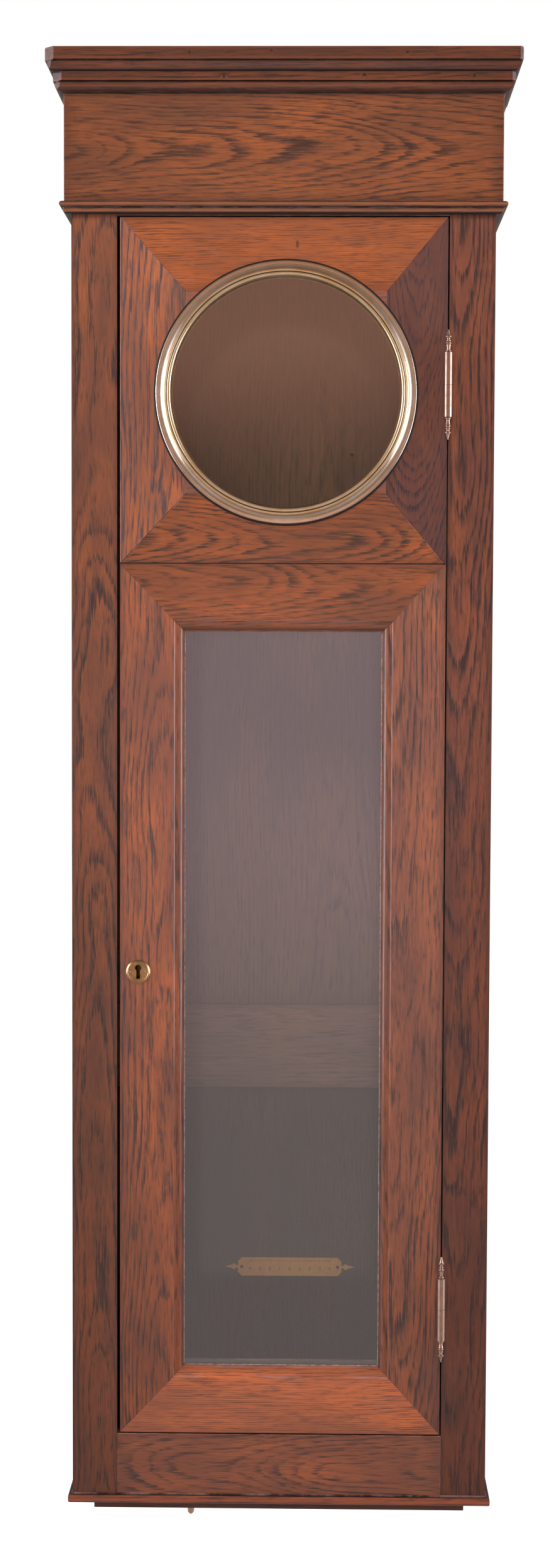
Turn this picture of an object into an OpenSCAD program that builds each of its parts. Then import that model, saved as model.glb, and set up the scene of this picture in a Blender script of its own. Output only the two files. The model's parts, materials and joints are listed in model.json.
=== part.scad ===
// Wall-hung oak case of a master time clock: carcass, crown, hinged glazed door and lock.
// X runs to the right, Y runs back to the wall and Z is up. The wall plane is Y = 0.
// The origin is the middle of the hanger hole where it meets the wall.
// Heights named h in the modules are counted up from the underside of the base moulding.

/* [Case] */
// Width over the two side panels
body_w = 504; // [480:1:540]
// Depth from the face of the stiles to the wall
case_depth = 230; // [190:1:260]
// Height of the carcass, from the base moulding to the upper crown member
body_h = 1721; // [1715:1:1780]
// Thickness of the side panels
side_t = 18; // [15:0.5:22]
// Width of each face stile
stile_w = 54.4; // [48:0.2:60]
// Thickness of the face stiles and rails
frame_t = 20; // [18:0.5:24]
// Height of the rail under the door
bottom_rail_h = 85.4; // [70:0.2:100]
// Thickness of the boards of the back
back_t = 12; // [9:0.5:16]
// Height of the hanger hole
hang_h = 1640; // [1600:1:1650]

/* [Mouldings] */
// Height of the frieze board
frieze_h = 126; // [100:1:140]
// How far the frieze stands proud of the carcass
frieze_t = 8; // [6:0.5:12]
// Height of the string moulding under the frieze
string_h = 14.5; // [12:0.5:18]
// Height of the upper crown member
crown_upper_h = 27; // [25:0.5:32]
// Height of the lower crown member
crown_lower_h = 23; // [22:0.5:28]
// How far the top of the crown stands out from the carcass
crown_reach = 29; // [27:0.5:36]
// Cant worn on the left front corner of the crown
crown_cant_left = 11; // [1:0.5:14]
// Cant worn on the right front corner of the crown
crown_cant_right = 4; // [1:0.5:14]
// Height of the base moulding
base_h = 12; // [10:0.5:16]

/* [Door] */
// Thickness of the door
door_t = 22; // [20:0.5:24]
// Gap on the lock side
gap_lock = 3.6; // [2:0.2:4]
// Gap on the hinge side
gap_hinge = 2; // [2:0.1:2.4]
// Height of the joint between the upper and the lower frame of the door
joint_h = 1145; // [1130:1:1160]
// Height of the middle of the round glass
dial_h = 1348; // [1340:1:1352]
// How far the glazed openings sit to the right of the case's middle
opening_shift = 3; // [0:0.5:5]
// Radius of the round glass that shows
dial_sight_r = 137.6; // [130:0.2:140]
// Width of the long glass that shows
sight_w = 237.4; // [220:0.2:245]
// Height of the lower edge of the long glass
sight_low_h = 168.5; // [160:0.5:180]
// Height of the upper edge of the long glass
sight_high_h = 1064; // [1040:1:1070]

/* [Hardware] */
// Length of each hinge barrel
barrel_len = 76.2; // [70:0.1:90]
// Radius of the hinge barrel
barrel_r = 4.75; // [4.5:0.05:4.9]
// Height of the middle of the upper hinge
upper_hinge_h = 1357.3; // [1300:0.1:1380]
// Height of the middle of the lower hinge
lower_hinge_h = 243.3; // [220:0.1:280]
// Radius of the round key escutcheon
escutcheon_r = 14.5; // [13:0.1:16]
// Height of the middle of the escutcheon
key_h = 653; // [600:1:700]
// Distance of the keyhole from the door's edge
backset = 22; // [20:0.5:24]
// Travel of the lock bolt
bolt_throw = 8; // [5:0.5:9]
// Length of the beat scale without its finials
scale_w = 135; // [110:1:150]

/* [Hidden] */
$fn = 96;

OAK = [0.45, 0.2, 0.11];
DARK_OAK = [0.36, 0.17, 0.11];
BACK_OAK = [0.3, 0.2, 0.15];
BRASS = [0.72, 0.56, 0.3];
OLD_BRASS = [0.55, 0.45, 0.3];
STEEL = [0.5, 0.5, 0.5];
GLASS = [0.75, 0.8, 0.8, 0.35];

big = 2000;
half_w = body_w / 2;
face_y = -case_depth;
open_half = half_w - stile_w;
crown_low = body_h - crown_lower_h;
frieze_low = crown_low - frieze_h;
string_low = frieze_low - string_h;
crown_top = body_h + crown_upper_h;
inner_half = half_w - side_t;
rebate_w = side_t / 2;
rail_back_t = back_t + 4;
cross_low = 474;
cross_high = 582;

// Door outline
door_x0 = -open_half + gap_lock;
door_x1 = open_half - gap_hinge;
door_low = bottom_rail_h + 1.6;
door_high = string_low - 2.5;
door_back = face_y + door_t;
dial_x = opening_shift + 1;
sight_x0 = opening_shift - 1 - sight_w / 2;
sight_x1 = sight_x0 + sight_w;

// Round opening
inner_square = 119.5;
opening_r = dial_sight_r + 4.4;
bezel_r = dial_sight_r + 17.9;
tube_r = opening_r - 0.5;
glass_t = 3;

// Stuck moulding round the long glass
mould_w = 12.3;
lip_front = 7.5;
lip_back = 11;
glass_rebate = 8;

// Hinges
hinge_x = open_half - gap_hinge / 2;
hinge_y = face_y - 5;
leaf_t = 1.8;
leaf_gap = 0.2;
leaf_depth = 25;
pin_r = 2.4;
pin_clearance = 0.05;
knuckle_gap = 0.3;
finial_len = 26.8;
screw_r = 1.6;
screw_head_r = 3.2;
screw_len = 11;
screw_clearance = 0.1;

// Lock
key_x = door_x0 + backset;
keyhole_r = 3.8;
keyhole_rise = 5;
keyhole_slot_w = 4.6;
keyhole_drop = 8.7;
lock_w = 36;
lock_h = 56;
lock_front = 8;
lock_back = 20;
lock_wall = 1.5;
bolt_h = 16;
bolt_t = 7;
bolt_len = 24;
bolt_mid_t = 14;

// Wall fixing
hanger_r = 5;
wall_screw_r = 3;
wall_screw_x = 170;
wall_screw_low = 120;
wall_screw_high = 1620;

// ---------- helpers ----------

// Points of an arc from one angle to another
function arc(cx, cy, r, from, to, steps = 8) =
  [for (i = [0:steps]) let (a = from + (to - from) * i / steps) [cx + r * cos(a), cy + r * sin(a)]];

// A board between two corners: x and y are in the row's frame, h is a height.
module board(x, y, h) {
  translate([x[0], y[0], h[0] - hang_h])
    cube([x[1] - x[0], y[1] - y[0], h[1] - h[0]]);
}

// Puts a child drawn in X and height, standing out along +Z, onto the plane at y, facing the front.
module on_face(y) {
  translate([0, y, -hang_h])
    rotate([90, 0, 0])
      children();
}

// A hole or rod from front to back, between two values of y.
module rod_y(x, h, r, y) {
  translate([x, y[1], h - hang_h])
    rotate([90, 0, 0])
      cylinder(r = r, h = y[1] - y[0]);
}

// A moulding across the front: the child profile is [reach, height], mitred at both ends.
module front_run(reach, tail = 0) {
  intersection() {
    translate([-half_w - reach, face_y, -hang_h])
      mirror([0, 1, 0])
        rotate([90, 0, 90])
          linear_extrude(2 * (half_w + reach))
            children();
    translate([0, 0, -big])
      linear_extrude(2 * big)
        polygon([
          [-half_w - reach, face_y - reach], [half_w + reach, face_y - reach],
          [half_w - tail, face_y + tail], [-half_w + tail, face_y + tail]
        ]);
  }
}

// The same moulding returned along the right side to the wall.
module side_run(reach, tail = 0) {
  intersection() {
    translate([half_w, 0, -hang_h])
      rotate([90, 0, 0])
        linear_extrude(case_depth + reach)
          children();
    translate([0, 0, -big])
      linear_extrude(2 * big)
        polygon([
          [half_w + reach, face_y - reach], [half_w + reach, 0],
          [half_w - tail, 0], [half_w - tail, face_y + tail]
        ]);
  }
}

// Takes a cant off one front corner of a moulding: side is 1 for the right and -1 for the left.
module cant_cut(side, cant, reach) {
  x = side * (half_w + reach);
  y = face_y - reach;
  translate([0, 0, -big])
    linear_extrude(2 * big)
      polygon([
        [x - side * cant, y - 1], [x + side, y - 1], [x + side, y + cant],
        [x, y + cant], [x - side * cant, y]
      ]);
}

// A countersunk hole or screw: its cone narrows along +Z.
module countersunk(r, head_r, len) {
  cylinder(r = r, h = len);
  cylinder(r1 = head_r, r2 = r, h = 1.25 * (head_r - r));
}

// ---------- carcass ----------

module side_panel_left() {
  color(DARK_OAK)
    mirror([1, 0, 0])
      side_board();
}

module side_panel_right() {
  color(DARK_OAK)
    side_board();
}

module side_board() {
  difference() {
    board([inner_half, half_w], [face_y + frame_t, 0], [0, body_h]);
    board([inner_half - 1, inner_half + rebate_w], [-back_t, 1], [-1, body_h + 1]);
  }
}

module face_stile_left() {
  color(DARK_OAK)
    difference() {
      board([-half_w, -open_half], [face_y, face_y + frame_t], [0, body_h]);
      strike_recess();
      bolt_mortise();
    }
}

module face_stile_right() {
  color(DARK_OAK)
    difference() {
      board([open_half, half_w], [face_y, face_y + frame_t], [0, body_h]);
      for (h = [upper_hinge_h, lower_hinge_h]) {
        leaf_pocket(h, 1);
        screw_row(h, 1);
      }
    }
}

module face_bottom_rail() {
  color(OAK)
    board([-open_half, open_half], [face_y, face_y + frame_t], [0, bottom_rail_h]);
}

module face_top_rail() {
  color(DARK_OAK)
    board([-open_half, open_half], [face_y, face_y + frame_t], [string_low - 1, body_h]);
}

module top_board() {
  color(BACK_OAK)
    board([-inner_half, inner_half], [face_y + frame_t, -back_t], [body_h - 18, body_h]);
}

module floor_board() {
  color(BACK_OAK)
    board([-inner_half, inner_half], [face_y + frame_t, -back_t], [0, 18]);
}

bottom_board_t = 8;
bottom_board_half = half_w - 26;
peg_x = -108;
peg_y = face_y + 15;
peg_r = 4;
peg_drop = 12;

module bottom_board() {
  color(DARK_OAK)
    difference() {
      board([-bottom_board_half, bottom_board_half], [face_y + 3, -10], [-bottom_board_t, 0]);
      translate([peg_x, peg_y, -hang_h - bottom_board_t - 1])
        cylinder(r = peg_r, h = bottom_board_t - 1);
    }
}

module bottom_peg() {
  color(OLD_BRASS)
    translate([peg_x, peg_y, -hang_h - 2])
      mirror([0, 0, 1])
        rotate_extrude()
          polygon(concat(
            [[0, 0], [peg_r, 0], [peg_r, bottom_board_t - 2 + peg_drop - 5]],
            arc(0, bottom_board_t - 2 + peg_drop - 5, peg_r, 0, 60, 5),
            [[0, bottom_board_t - 2 + peg_drop]]
          ));
}

// ---------- back ----------

module wall_screw_holes(h) {
  for (x = [-wall_screw_x, wall_screw_x])
    rod_y(x, h, wall_screw_r, [-back_t - 1, 1]);
}

wire_x = 86;
wire_h = 1292;
wire_r = 3;
split_w = 1.2;
split_len = 28;
split_depth = 4;

module back_panel_upper() {
  color(BACK_OAK)
    difference() {
      board([-inner_half - rebate_w, inner_half + rebate_w], [-back_t, 0], [cross_high, body_h]);
      rod_y(0, hang_h, hanger_r, [-back_t - 1, 1]);
      wall_screw_holes(wall_screw_high);
      rod_y(wire_x, wire_h, wire_r, [-back_t - 1, 1]);
      board([wire_x - split_w / 2, wire_x + split_w / 2],
            [-back_t - 1, -back_t + split_depth],
            [wire_h - split_len, wire_h]);
      for (p = hanger_screw_spots)
        rod_y(p[0], hang_h + p[1], screw_r, [-back_t - 1, -2]);
    }
}

module back_cross_rail() {
  color(OAK)
    union() {
      board([-inner_half - rebate_w, inner_half + rebate_w], [-back_t, 0], [cross_low, cross_high]);
      board([-inner_half, inner_half], [-rail_back_t, -back_t], [cross_low, cross_high]);
    }
}

module back_panel_lower() {
  color(BACK_OAK)
    difference() {
      board([-inner_half - rebate_w, inner_half + rebate_w], [-back_t, 0], [0, cross_low]);
      wall_screw_holes(wall_screw_low);
      for (side = [-1, 1])
        rod_y(scale_x + side * scale_screw_x, scale_h, scale_screw_r, [-back_t - 1, -3]);
    }
}

hanger_half_w = 22;
hanger_half_h = 28;
hanger_t = 2.5;
hanger_screw_spots = [for (x = [-14, 14], h = [-19, 19]) [x, h]];

module hanger_plate() {
  color(STEEL)
    difference() {
      on_face(-back_t)
        translate([0, hang_h, 0])
          linear_extrude(hanger_t)
            hull()
              for (x = [-1, 1], h = [-1, 1])
                translate([x * (hanger_half_w - 5), h * (hanger_half_h - 5)])
                  circle(r = 5, $fn = 32);
      rod_y(0, hang_h, hanger_r, [-back_t - hanger_t - 1, 0]);
      for (p = hanger_screw_spots)
        rod_y(p[0], hang_h + p[1], screw_r + 0.2, [-back_t - hanger_t - 1, 0]);
    }
}

module hanger_screws() {
  color(STEEL)
    for (p = hanger_screw_spots)
      translate([p[0], -back_t - hanger_t, p[1]])
        rotate([-90, 0, 0])
          pan_screw(screw_r, screw_head_r, 9);
}

// A round-headed screw: its head stands towards -Z and its shank runs along +Z.
module pan_screw(r, head_r, len) {
  rotate_extrude()
    polygon(concat(
      [[0, len], [r, len], [r, 0], [head_r, 0]],
      arc(0, 0, head_r, 0, -60, 5),
      [[0, -0.87 * head_r]]
    ));
}

// ---------- frieze, crown, string and base mouldings ----------

module frieze_front() {
  color(OAK)
    front_run(frieze_t)
      translate([0, frieze_low])
        square([frieze_t, frieze_h]);
}

module frieze_right() {
  color(OAK)
    side_run(frieze_t)
      translate([0, frieze_low])
        square([frieze_t, frieze_h]);
}

module frieze_left() {
  color(OAK)
    mirror([1, 0, 0])
      side_run(frieze_t)
        translate([0, frieze_low])
          square([frieze_t, frieze_h]);
}

crown_tail = 14;
fascia_h = 15;
lower_reach = crown_reach - 8.5;

// Square fascia over a quarter round
module crown_upper_profile() {
  r = crown_upper_h - fascia_h - 2.5;
  polygon(concat(
    [[-crown_tail, body_h], [crown_reach - 3 - r * 0.6, body_h]],
    [for (p = arc(0, 0, 1, -90, 0)) [crown_reach - 3 - r * 0.6 + 0.6 * r * p[0], body_h + r + r * p[1]]],
    [[crown_reach - 3, crown_top - fascia_h - 1.2], [crown_reach, crown_top - fascia_h]],
    [[crown_reach, crown_top - 1], [crown_reach - 1, crown_top], [-crown_tail, crown_top]]
  ));
}

// Fascia, fillet groove and ovolo
module crown_lower_profile() {
  fascia_low = crown_low + 12;
  r = 8;
  polygon(concat(
    [[0, crown_low], [frieze_t + 1.5, crown_low], [frieze_t + 2.5, crown_low + 1.4]],
    arc(lower_reach - 2 - r, crown_low + 1.4 + r, r, -90, 0),
    [[lower_reach - 2, fascia_low - 1.4], [lower_reach - 4.5, fascia_low - 1.2]],
    [[lower_reach - 4.5, fascia_low], [lower_reach, fascia_low + 0.6]],
    [[lower_reach, body_h], [0, body_h]]
  ));
}

module crown_upper_front() {
  color(OAK)
    canted(crown_reach)
      front_run(crown_reach, crown_tail)
        crown_upper_profile();
}

module crown_upper_right() {
  color(OAK)
    canted(crown_reach)
      side_run(crown_reach, crown_tail)
        crown_upper_profile();
}

module crown_upper_left() {
  color(OAK)
    canted(crown_reach)
      mirror([1, 0, 0])
        side_run(crown_reach, crown_tail)
          crown_upper_profile();
}

module crown_lower_front() {
  color(OAK)
    canted(lower_reach)
      front_run(lower_reach)
        crown_lower_profile();
}

module crown_lower_right() {
  color(OAK)
    canted(lower_reach)
      side_run(lower_reach)
        crown_lower_profile();
}

module crown_lower_left() {
  color(OAK)
    canted(lower_reach)
      mirror([1, 0, 0])
        side_run(lower_reach)
          crown_lower_profile();
}

module canted(reach) {
  difference() {
    children();
    cant_cut(1, crown_cant_right, reach);
    cant_cut(-1, crown_cant_left, reach);
  }
}

// Half-round nose, fillet and small ovolo
module string_profile() {
  nose_r = 3.4;
  nose_reach = frieze_t + 5.5;
  nose_h = frieze_low - nose_r;
  polygon(concat(
    [[0, string_low], [frieze_t - 4, string_low]],
    arc(frieze_t - 4, string_low + 5.2, 5.2, -90, 0, 6),
    [[frieze_t + 1.2, nose_h - nose_r], [nose_reach - nose_r, nose_h - nose_r]],
    arc(nose_reach - nose_r, nose_h, nose_r, -90, 90),
    [[0, frieze_low]]
  ));
}

module string_front() {
  color(OAK)
    front_run(frieze_t + 5.5)
      string_profile();
}

module string_right() {
  color(OAK)
    side_run(frieze_t + 5.5)
      string_profile();
}

module string_left() {
  color(OAK)
    mirror([1, 0, 0])
      side_run(frieze_t + 5.5)
        string_profile();
}

base_reach = 5.5;

// Rounded fascia with a quirk along its top
module base_profile() {
  nose_r = 2.6;
  polygon(concat(
    [[0, 0], [base_reach - nose_r, 0]],
    arc(base_reach - nose_r, nose_r, nose_r, -90, 0),
    arc(base_reach - nose_r, base_h - 1.6 - nose_r, nose_r, 0, 70),
    [[1.6, base_h - 1.8], [1.6, base_h - 0.6], [1, base_h], [0, base_h]]
  ));
}

module base_front() {
  color(DARK_OAK)
    front_run(base_reach)
      base_profile();
}

module base_right() {
  color(DARK_OAK)
    side_run(base_reach)
      base_profile();
}

module base_left() {
  color(DARK_OAK)
    mirror([1, 0, 0])
      side_run(base_reach)
        base_profile();
}

// ---------- beat scale ----------

scale_x = 10;
scale_h = 237;
scale_tall = 24;
scale_t = 1.2;
scale_clip = 5;
scale_screw_x = scale_w / 2 - 5;
scale_screw_r = 1;

module beat_scale() {
  color(BRASS)
    difference() {
      on_face(-back_t)
        translate([scale_x, scale_h, 0])
          linear_extrude(scale_t)
            scale_plate();
      for (side = [-1, 1])
        rod_y(scale_x + side * scale_screw_x, scale_h, scale_screw_r, [-back_t - scale_t - 1, 0]);
    }
}

// Octagonal plate with a pointed finial at each end: the left half is the right half turned about the middle
module scale_plate() {
  end = scale_w / 2;
  mid = scale_tall / 2;
  right_half = [
    [end - scale_clip, -mid], [end, -mid + scale_clip], [end, -1.8], [end + 2, -1.2], [end + 5, -4.2],
    [end + 8, -2.2], [end + 17, 0], [end + 8, 2.2], [end + 5, 4.2], [end + 2, 1.2],
    [end, 1.8], [end, mid - scale_clip], [end - scale_clip, mid]
  ];
  polygon(concat(right_half, [for (p = right_half) -p]));
}

module beat_scale_screws() {
  color(OLD_BRASS)
    for (side = [-1, 1])
      translate([scale_x + side * scale_screw_x, -back_t - scale_t, scale_h - hang_h])
        rotate([-90, 0, 0])
          pan_screw(scale_screw_r, 1.9, 7);
}

// ---------- door: upper frame ----------

// Outline of one mitred member of a frame, seen from the front.
// box is [x0, x1, low, high] outside, kink is the same for the moulding's outer line, hole for the opening.
function level_mitre(box, kink, hole, end) = [
  [box[0], box[end]], [box[1], box[end]], [kink[1], kink[end]],
  [hole[1], hole[end]], [hole[0], hole[end]], [kink[0], kink[end]]
];
function upright_mitre(box, kink, hole, end) = [
  [box[end], box[2]], [kink[end], kink[2]], [hole[end], hole[2]],
  [hole[end], hole[3]], [kink[end], kink[3]], [box[end], box[3]]
];
function top_mitre(box, kink, hole) = level_mitre(box, kink, hole, 3);
function low_mitre(box, kink, hole) = level_mitre(box, kink, hole, 2);
function left_mitre(box, kink, hole) = upright_mitre(box, kink, hole, 0);
function right_mitre(box, kink, hole) = upright_mitre(box, kink, hole, 1);

upper_box = [door_x0, door_x1, joint_h, door_high];
upper_hole = [dial_x - inner_square, dial_x + inner_square, dial_h - inner_square, dial_h + inner_square];

module upper_member(outline) {
  difference() {
    on_face(door_back)
      linear_extrude(door_t)
        polygon(outline);
    rod_y(dial_x, dial_h, opening_r, [face_y - 1, door_back + 1]);
    if (outline[0][0] == door_x1) {
      leaf_pocket(upper_hinge_h, -1);
      screw_row(upper_hinge_h, -1);
    }
  }
}

module upper_frame_top() {
  color(OAK)
    upper_member(top_mitre(upper_box, upper_hole, upper_hole));
}

module upper_frame_bottom() {
  color(OAK)
    upper_member(low_mitre(upper_box, upper_hole, upper_hole));
}

module upper_frame_left() {
  color(OAK)
    upper_member(left_mitre(upper_box, upper_hole, upper_hole));
}

module upper_frame_right() {
  color(OAK)
    upper_member(right_mitre(upper_box, upper_hole, upper_hole));
}

spandrel_leg = 52;

// Four blocks glued into the corners of the square opening
module spandrels() {
  color(OAK)
    difference() {
      for (side_x = [-1, 1], side_z = [-1, 1])
        on_face(door_back)
          translate([dial_x + side_x * inner_square, dial_h + side_z * inner_square, 0])
            linear_extrude(door_t)
              polygon([[0, 0], [-side_x * spandrel_leg, 0], [0, -side_z * spandrel_leg]]);
      rod_y(dial_x, dial_h, opening_r, [face_y - 1, door_back + 1]);
    }
}

// ---------- bezel and round glass ----------

glass_seat = -2;
bezel_t = 10.5;

module turned(x, y, h) {
  translate([x, y, h - hang_h])
    rotate([90, 0, 0])
      rotate_extrude($fn = 180)
        children();
}

module bezel() {
  color(BRASS)
    turned(dial_x, face_y, dial_h) {
      difference() {
        polygon([
          [tube_r, 0], [bezel_r, 0], [bezel_r, 3], [bezel_r - 1.2, 4.2],
          [tube_r + 3.4, bezel_t], [tube_r, bezel_t]
        ]);
        translate([bezel_r - 2.2, bezel_t + 2.3])
          circle(r = 8.9);
      }
      translate([tube_r + 0.2, bezel_t - 1.6])
        circle(r = 3.6);
      translate([dial_sight_r, glass_seat])
        square([tube_r - dial_sight_r, bezel_t - glass_seat - 1.6]);
      translate([tube_r - 1.5, -12])
        square([1.5, 12]);
    }
}

module round_glass() {
  color(GLASS)
    translate([dial_x, face_y - glass_seat + glass_t, dial_h - hang_h])
      rotate([90, 0, 0])
        cylinder(r = tube_r - 1.7, h = glass_t, $fn = 180);
}

module glass_ring() {
  color(OLD_BRASS)
    turned(dial_x, face_y, dial_h)
      translate([tube_r - 6, glass_seat - glass_t - 2.5])
        square([4.4, 2.5]);
}

// ---------- door: lower frame ----------

lower_box = [door_x0, door_x1, door_low, joint_h];
lower_hole = [sight_x0, sight_x1, sight_low_h, sight_high_h];
lower_kink = [sight_x0 - mould_w, sight_x1 + mould_w, sight_low_h - mould_w, sight_high_h + mould_w];

// Section of a lower frame member: x is counted from the sight line outwards, y is the depth from the face.
module sash_section(width) {
  step = 2;
  flat = 2.6;
  r = mould_w - flat - step;
  polygon(concat(
    [[0, lip_back], [0, lip_front], [step, lip_front]],
    [for (p = arc(0, 0, 1, 180, 270, 6)) [step + r + r * p[0], lip_front + (lip_front - 2.2) * p[1]]],
    [[mould_w - 0.8, 2.2], [mould_w, 1.4], [mould_w, 0]],
    [[width, 0], [width, door_t], [glass_rebate, door_t], [glass_rebate, lip_back]]
  ));
}

// A stretch of sash moulding along the height, with its sight line at x and its body on the given side
module upright_sash(x, side, width) {
  translate([x, face_y, -hang_h])
    mirror([side > 0 ? 0 : 1, 0, 0])
      linear_extrude(joint_h)
        sash_section(width);
}

// The same along X: up is 1 for the member above the glass and -1 for the one below it
module level_sash(h, up, width) {
  translate([-half_w, face_y, h - hang_h])
    mirror([0, 0, up > 0 ? 0 : 1])
      rotate([90, 0, 90])
        linear_extrude(body_w)
          mirror([1, -1])
            sash_section(width);
}

module mitred(outline) {
  intersection() {
    children();
    on_face(door_back)
      linear_extrude(door_t)
        polygon(outline);
  }
}

module lower_frame_top() {
  color(OAK)
    mitred(top_mitre(lower_box, lower_kink, lower_hole))
      level_sash(sight_high_h, 1, joint_h - sight_high_h);
}

module lower_frame_bottom() {
  color(OAK)
    mitred(low_mitre(lower_box, lower_kink, lower_hole))
      level_sash(sight_low_h, -1, sight_low_h - door_low);
}

module lower_frame_right() {
  color(OAK)
    difference() {
      mitred(right_mitre(lower_box, lower_kink, lower_hole))
        upright_sash(sight_x1, 1, door_x1 - sight_x1);
      leaf_pocket(lower_hinge_h, -1);
      screw_row(lower_hinge_h, -1);
    }
}

module lower_frame_left() {
  color(OAK)
    difference() {
      mitred(left_mitre(lower_box, lower_kink, lower_hole))
        upright_sash(sight_x0, -1, sight_x0 - door_x0);
      on_face(face_y + door_t)
        keyhole(door_t + 1, 0);
      lock_pocket();
      for (side = [-1, 1])
        rod_y(key_x + side * escutcheon_pin_x, key_h, escutcheon_pin_r, [face_y - 1, face_y + 6]);
    }
}

bead_t = 6;
bead_w = 8;
low_bead_rise = 6;
glass_lap = 6;

module long_glass() {
  color(GLASS)
    board([sight_x0 - glass_lap, sight_x1 + glass_lap],
          [face_y + lip_back, face_y + lip_back + glass_t],
          [sight_low_h - glass_lap, sight_high_h + glass_lap]);
}

// Four beads pinned in the rebate behind the long glass
module glazing_beads() {
  y = [face_y + lip_back + glass_t, face_y + lip_back + glass_t + bead_t];
  low = sight_low_h - glass_rebate;
  high = sight_high_h + glass_rebate;
  left = sight_x0 - glass_rebate;
  right = sight_x1 + glass_rebate;
  upright = [low + bead_w + low_bead_rise, high - bead_w];
  color(BACK_OAK) {
    board([left, left + bead_w], y, upright);
    board([right - bead_w, right], y, upright);
    board([left, right], y, [low, upright[0] - 0.2]);
    board([left, right], y, [upright[1] + 0.2, high]);
  }
}

// ---------- escutcheon and lock ----------

escutcheon_t = 2.2;
escutcheon_pin_x = 10.3;
escutcheon_pin_r = 0.9;

// Key-shaped hole standing along +Z, drawn at the lock's place
module keyhole(len, from) {
  translate([key_x, key_h, from]) {
    translate([0, keyhole_rise, 0])
      cylinder(r = keyhole_r, h = len);
    translate([-keyhole_slot_w / 2, -keyhole_drop, 0])
      cube([keyhole_slot_w, keyhole_drop + keyhole_rise, len]);
  }
}

module escutcheon() {
  color(OLD_BRASS)
    difference() {
      turned(key_x, face_y, key_h)
        polygon([
          [0, 0], [escutcheon_r, 0], [escutcheon_r, 0.6],
          [escutcheon_r - 1.8, escutcheon_t], [escutcheon_r - 2.4, escutcheon_t],
          [escutcheon_r - 2.8, escutcheon_t - 0.3], [0, escutcheon_t - 0.3]
        ]);
      on_face(face_y)
        keyhole(escutcheon_t + 2, -1);
      for (side = [-1, 1])
        rod_y(key_x + side * escutcheon_pin_x, key_h, escutcheon_pin_r,
              [face_y - escutcheon_t - 1, face_y + 1]);
    }
}

module escutcheon_pins() {
  color(OLD_BRASS)
    for (side = [-1, 1])
      translate([key_x + side * escutcheon_pin_x, face_y - escutcheon_t + 0.3, key_h - hang_h])
        rotate([-90, 0, 0])
          pan_screw(escutcheon_pin_r, 1.3, 7);
}

module lock_pocket() {
  board([door_x0 - 1, door_x0 + lock_w + 0.3], [face_y + lock_front - 0.3, door_back + 1],
        [key_h - lock_h / 2 - 0.3, key_h + lock_h / 2 + 0.3]);
}

// Tray that opens to the back: its left wall is the selvedge that shows on the door's edge
module lock_case() {
  color(OLD_BRASS)
    difference() {
      board([door_x0, door_x0 + lock_w], [face_y + lock_front, face_y + lock_back],
            [key_h - lock_h / 2, key_h + lock_h / 2]);
      board([door_x0 + lock_wall, door_x0 + lock_w - lock_wall],
            [face_y + lock_front + lock_wall, face_y + lock_back + 1],
            [key_h - lock_h / 2 + lock_wall, key_h + lock_h / 2 - lock_wall]);
      board([door_x0 - 1, door_x0 + 3],
            [face_y + bolt_mid_t - bolt_t / 2 - 0.3, face_y + bolt_mid_t + bolt_t / 2 + 0.3],
            [bolt_low - 0.3, bolt_low + bolt_h + 0.3]);
      on_face(face_y + lock_front + lock_wall)
        keyhole(lock_wall + 1, -1);
    }
}

module lock_cap() {
  color(OLD_BRASS)
    board([door_x0, door_x0 + lock_w], [face_y + lock_back, face_y + lock_back + 1.2],
          [key_h - lock_h / 2, key_h + lock_h / 2]);
}

bolt_low = key_h + 6;

module lock_bolt() {
  color(OLD_BRASS)
    difference() {
      board([door_x0 + 0.5, door_x0 + 0.5 + bolt_len],
            [face_y + bolt_mid_t - bolt_t / 2, face_y + bolt_mid_t + bolt_t / 2],
            [bolt_low, bolt_low + bolt_h]);
      board([key_x - 7, key_x + 1],
            [face_y + bolt_mid_t - bolt_t, face_y + bolt_mid_t + bolt_t],
            [bolt_low - 1, bolt_low + 4]);
    }
}

strike_t = 1.2;
strike_h = 44;
strike_slot = 1.2;

strike_y = [face_y + 4, face_y + frame_t - 2];
strike_span = [bolt_low + bolt_h / 2 - strike_h / 2, bolt_low + bolt_h / 2 + strike_h / 2];

module strike_recess() {
  board([-open_half - strike_t, -open_half + 1], strike_y, strike_span);
}

// Space for the thrown bolt
module bolt_mortise() {
  board([-open_half - bolt_throw, -open_half + 1],
        [face_y + bolt_mid_t - bolt_t / 2 - strike_slot, face_y + bolt_mid_t + bolt_t / 2 + strike_slot],
        [bolt_low - strike_slot, bolt_low + bolt_h + strike_slot]);
}

module strike_plate() {
  color(OLD_BRASS)
    difference() {
      board([-open_half - strike_t, -open_half], strike_y, strike_span);
      bolt_mortise();
    }
}

// ---------- hinges ----------

// Recess for a leaf: side is 1 in the stile and -1 in the door
module leaf_pocket(h, side) {
  x0 = hinge_x + side * (leaf_gap + leaf_t);
  x1 = hinge_x + side * 0.1;
  board([min(x0, x1), max(x0, x1)], [face_y - 1, face_y + leaf_depth],
        [h - barrel_len / 2, h + barrel_len / 2]);
}

leaf_screw_spots = [for (h = [-1, 0, 1]) [9 + abs(h) * 6, h * 26]];

// Pilot holes for the screws of one leaf
module screw_row(h, side) {
  for (p = leaf_screw_spots)
    translate([hinge_x, face_y + p[0], h + p[1] - hang_h])
      rotate([0, side * 90, 0])
        cylinder(r = screw_r, h = screw_len + 1);
}

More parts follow.
